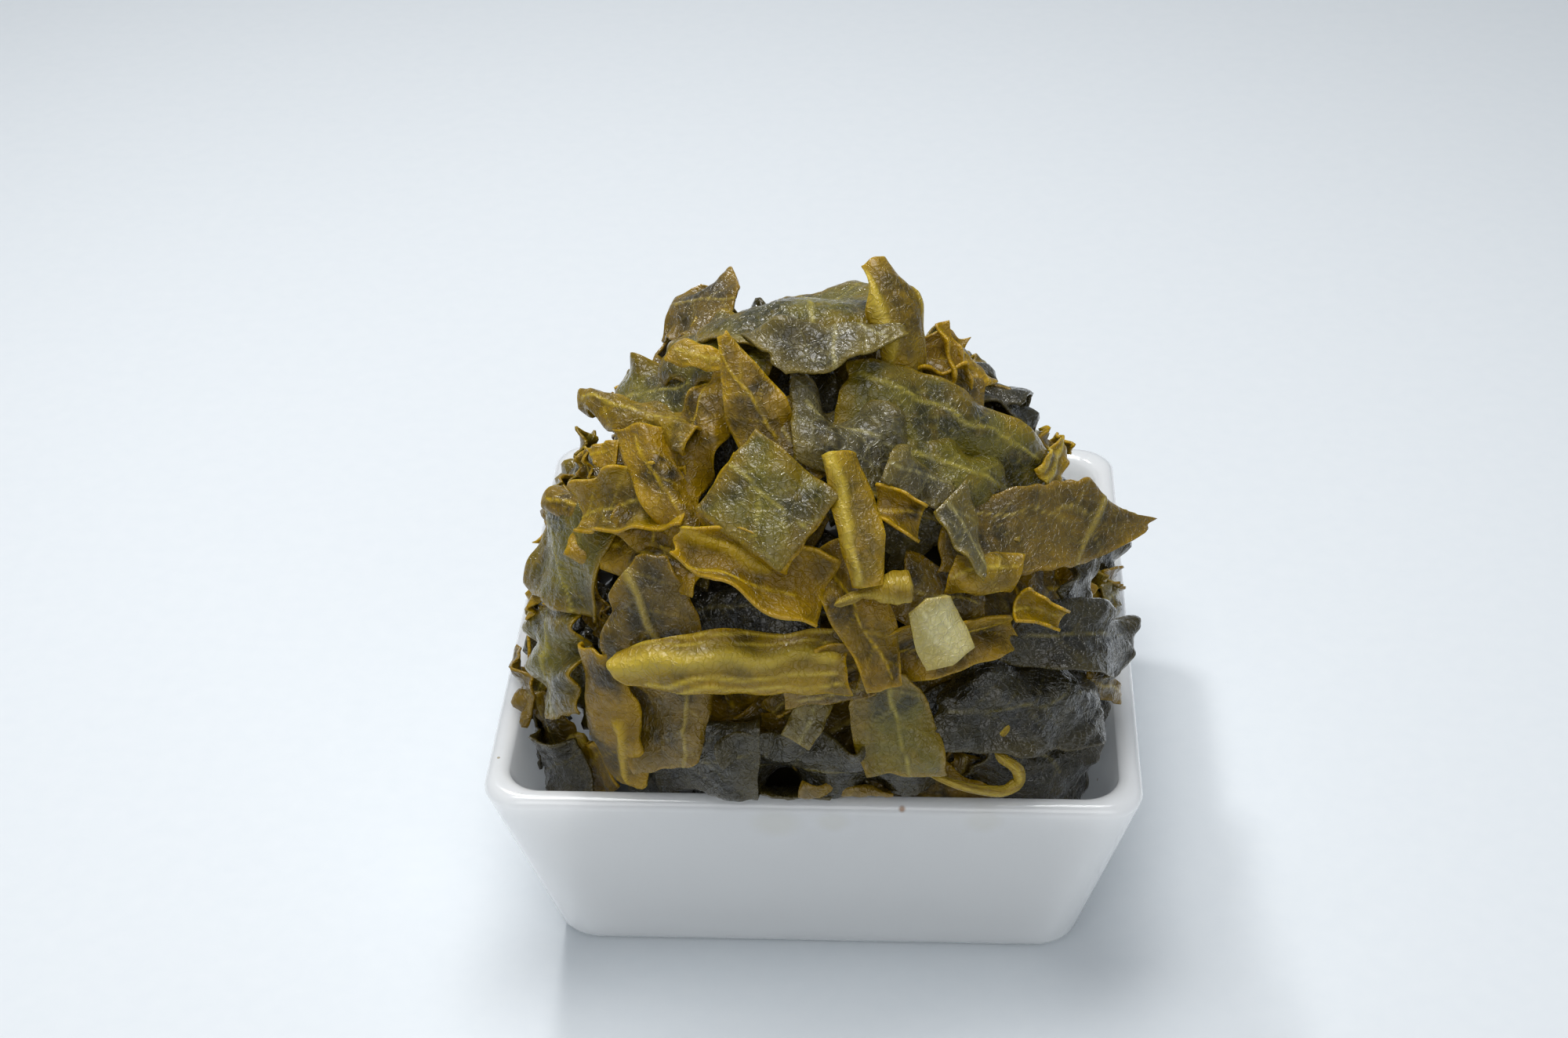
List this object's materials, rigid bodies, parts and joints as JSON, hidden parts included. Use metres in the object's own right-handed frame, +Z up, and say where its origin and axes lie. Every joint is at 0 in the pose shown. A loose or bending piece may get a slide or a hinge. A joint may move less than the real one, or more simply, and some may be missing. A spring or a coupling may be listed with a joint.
{
  "type": "bowl of cooked collard greens",
  "caption": "Heap of chopped, stewed collard leaves and stems, served in a small square porcelain bowl that stands on its flat foot.",
  "frame": {"origin": "middle of the bowl's flat foot, on the surface it stands on", "axes": "+Z up, -Y is the front of the heap, +X to the right as seen from the front; the bowl's sides run along X and Y"},
  "size_m": [0.115, 0.1169, 0.1216],
  "materials": {
    "porcelain": "gloss",
    "leaf_olive": "satin",
    "leaf_grey": "satin",
    "leaf_mustard": "satin",
    "leaf_amber": "satin",
    "leaf_brown": "satin",
    "leaf_dark": "satin",
    "stem_pale": "satin",
    "leaf_packed": "satin"
  },
  "bodies": {
    "root": {"bowl": "porcelain", "packed_greens_1": "leaf_packed", "packed_greens_2": "leaf_packed", "packed_greens_3": "leaf_packed", "amber_spike": "leaf_amber", "back_leaf_1": "leaf_olive", "back_leaf_10": "leaf_grey", "back_leaf_11": "leaf_dark", "back_leaf_12": "leaf_grey", "back_leaf_13": "leaf_brown", "back_leaf_2": "leaf_dark", "back_leaf_3": "leaf_grey", "back_leaf_4": "leaf_brown", "back_leaf_5": "leaf_mustard", "back_leaf_6": "leaf_brown", "back_leaf_7": "leaf_mustard", "back_leaf_8": "leaf_olive", "back_leaf_9": "leaf_dark", "blistered_leaf": "leaf_grey", "boat_leaf": "leaf_amber", "boat_tail_leaf": "leaf_mustard", "cross_strip": "leaf_amber", "crown_leaf": "leaf_olive", "crown_left_flap": "leaf_olive", "crown_rib_leaf": "stem_pale", "dark_mid_leaf": "leaf_dark", "front_dark_fold": "leaf_dark", "front_dark_leaf": "leaf_dark", "front_olive_leaf": "leaf_olive", "front_right_leaf": "leaf_mustard", "front_stem_leaf": "leaf_mustard", "grey_top_leaf": "leaf_grey", "hanging_leaf": "leaf_olive", "left_amber_sheet": "leaf_amber", "left_mustard_cup": "leaf_mustard", "left_pale_leaf": "leaf_grey", "left_ruffle": "leaf_amber", "left_shelf_leaf": "leaf_olive", "left_side_leaf": "leaf_grey", "left_yellow_leaf": "leaf_amber", "olive_back_leaf": "leaf_olive", "pale_fold_leaf": "leaf_mustard", "peak_left_leaf": "leaf_amber", "rib_strip": "leaf_mustard", "right_black_leaf": "leaf_dark", "right_dark_leaf": "leaf_dark", "right_low_leaf": "leaf_dark", "right_top_cup": "leaf_amber", "right_top_leaf": "leaf_brown", "right_wing_leaf": "leaf_brown", "ruffle_back_leaf": "leaf_brown", "shoulder_leaf": "leaf_olive", "shoulder_under_leaf": "leaf_olive", "square_leaf": "leaf_olive", "stem_bud": "leaf_mustard", "stem_chunk": "leaf_mustard", "stem_slice": "stem_pale", "under_stem_leaf": "leaf_brown", "vein_leaf_left": "leaf_brown", "wall_leaf_right": "leaf_dark"}
  },
  "joints": []
}
